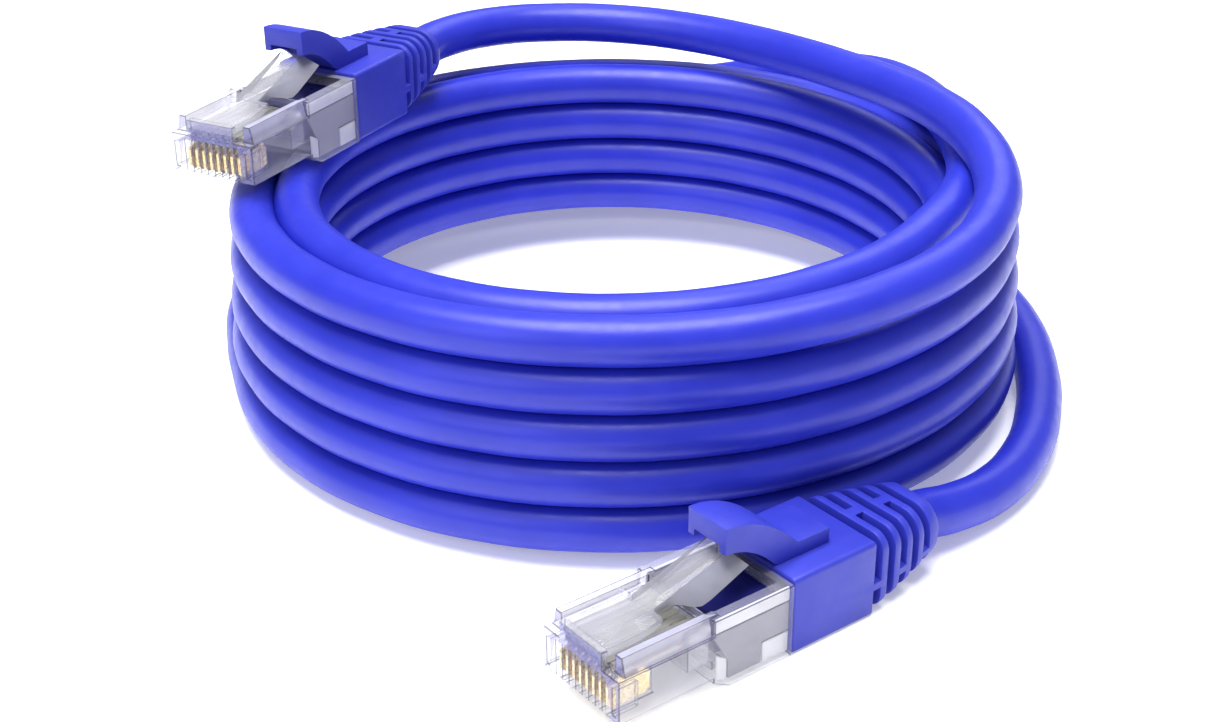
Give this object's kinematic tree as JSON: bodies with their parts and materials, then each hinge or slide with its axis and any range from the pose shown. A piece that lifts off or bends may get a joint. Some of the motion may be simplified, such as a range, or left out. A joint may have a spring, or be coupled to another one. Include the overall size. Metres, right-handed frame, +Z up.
{
  "type": "ethernet patch cable",
  "caption": "Round network patch cable wound in a two-layer coil, with a clear modular plug, moulded snagless boot and flexing latch at each end.",
  "frame": {"origin": "middle of the footprint of the whole wound cable, on the surface that it lies on", "axes": "+Z up along the coil's axis; -Y is the side where the lower plug lies in front of the coil; +X is the side where the lower lead runs round the coil"},
  "size_m": [0.107, 0.1306, 0.0422],
  "materials": {
    "jacket": "smooth satin PVC",
    "boot": "moulded satin PVC",
    "clear_plastic": "clear polycarbonate",
    "guide_plastic": "milky polycarbonate",
    "gold_contact": "gold plated phosphor bronze",
    "wire_white_orange": "smooth insulation",
    "wire_orange": "smooth insulation",
    "wire_white_green": "smooth insulation",
    "wire_blue": "smooth insulation",
    "wire_white_blue": "smooth insulation",
    "wire_green": "smooth insulation",
    "wire_white_brown": "smooth insulation",
    "wire_brown": "smooth insulation"
  },
  "bodies": {
    "root": {"coil": "jacket", "lead_a": "jacket", "lead_b": "jacket", "crossing_run": "jacket", "plug_body_a": "clear_plastic", "wire_guide_a": "guide_plastic", "strain_bar_a": "clear_plastic", "jacket_end_a": "jacket", "boot_a": "boot", "plug_body_b": "clear_plastic", "wire_guide_b": "guide_plastic", "strain_bar_b": "clear_plastic", "jacket_end_b": "jacket", "boot_b": "boot", "contact_1_a": "gold_contact", "contact_2_a": "gold_contact", "contact_3_a": "gold_contact", "contact_4_a": "gold_contact", "contact_5_a": "gold_contact", "contact_6_a": "gold_contact", "contact_7_a": "gold_contact", "contact_8_a": "gold_contact", "contact_1_b": "gold_contact", "contact_2_b": "gold_contact", "contact_3_b": "gold_contact", "contact_4_b": "gold_contact", "contact_5_b": "gold_contact", "contact_6_b": "gold_contact", "contact_7_b": "gold_contact", "contact_8_b": "gold_contact", "wire_1_a": "wire_white_orange", "wire_2_a": "wire_orange", "wire_3_a": "wire_white_green", "wire_4_a": "wire_blue", "wire_5_a": "wire_white_blue", "wire_6_a": "wire_green", "wire_7_a": "wire_white_brown", "wire_8_a": "wire_brown", "wire_1_b": "wire_white_orange", "wire_2_b": "wire_orange", "wire_3_b": "wire_white_green", "wire_4_b": "wire_blue", "wire_5_b": "wire_white_blue", "wire_6_b": "wire_green", "wire_7_b": "wire_white_brown", "wire_8_b": "wire_brown"},
    "latch_a": {"latch_a": "clear_plastic"},
    "hood_a": {"boot_hood_a": "boot"},
    "latch_b": {"latch_b": "clear_plastic"},
    "hood_b": {"boot_hood_b": "boot"}
  },
  "joints": [
    {"name": "hood_flex_a", "type": "hinge", "parent": "root", "child": "hood_a", "pos_m": [-0.03718, 0.02414, 0.03645], "axis": [-0.891, 0.454, 0], "range_deg": [-10, 0], "stiffness_Nm_per_rad": 0.02},
    {"name": "latch_flex_a", "type": "hinge", "parent": "root", "child": "latch_a", "pos_m": [-0.04783, 0.00325, 0.03475], "axis": [-0.891, 0.454, 0], "range_deg": [0, 6], "stiffness_Nm_per_rad": 0.01},
    {"name": "hood_flex_b", "type": "hinge", "parent": "root", "child": "hood_b", "pos_m": [0.01477, -0.04568, 0.0096], "axis": [-0.6157, 0.788, 0], "range_deg": [-10, 0], "stiffness_Nm_per_rad": 0.02},
    {"name": "latch_flex_b", "type": "hinge", "parent": "root", "child": "latch_b", "pos_m": [-0.00371, -0.06012, 0.0079], "axis": [-0.6157, 0.788, 0], "range_deg": [0, 6], "stiffness_Nm_per_rad": 0.01}
  ],
  "couplings": [
    {"joint": "latch_flex_a", "follows": "hood_flex_a", "ratio": -0.6},
    {"joint": "latch_flex_b", "follows": "hood_flex_b", "ratio": -0.6}
  ]
}
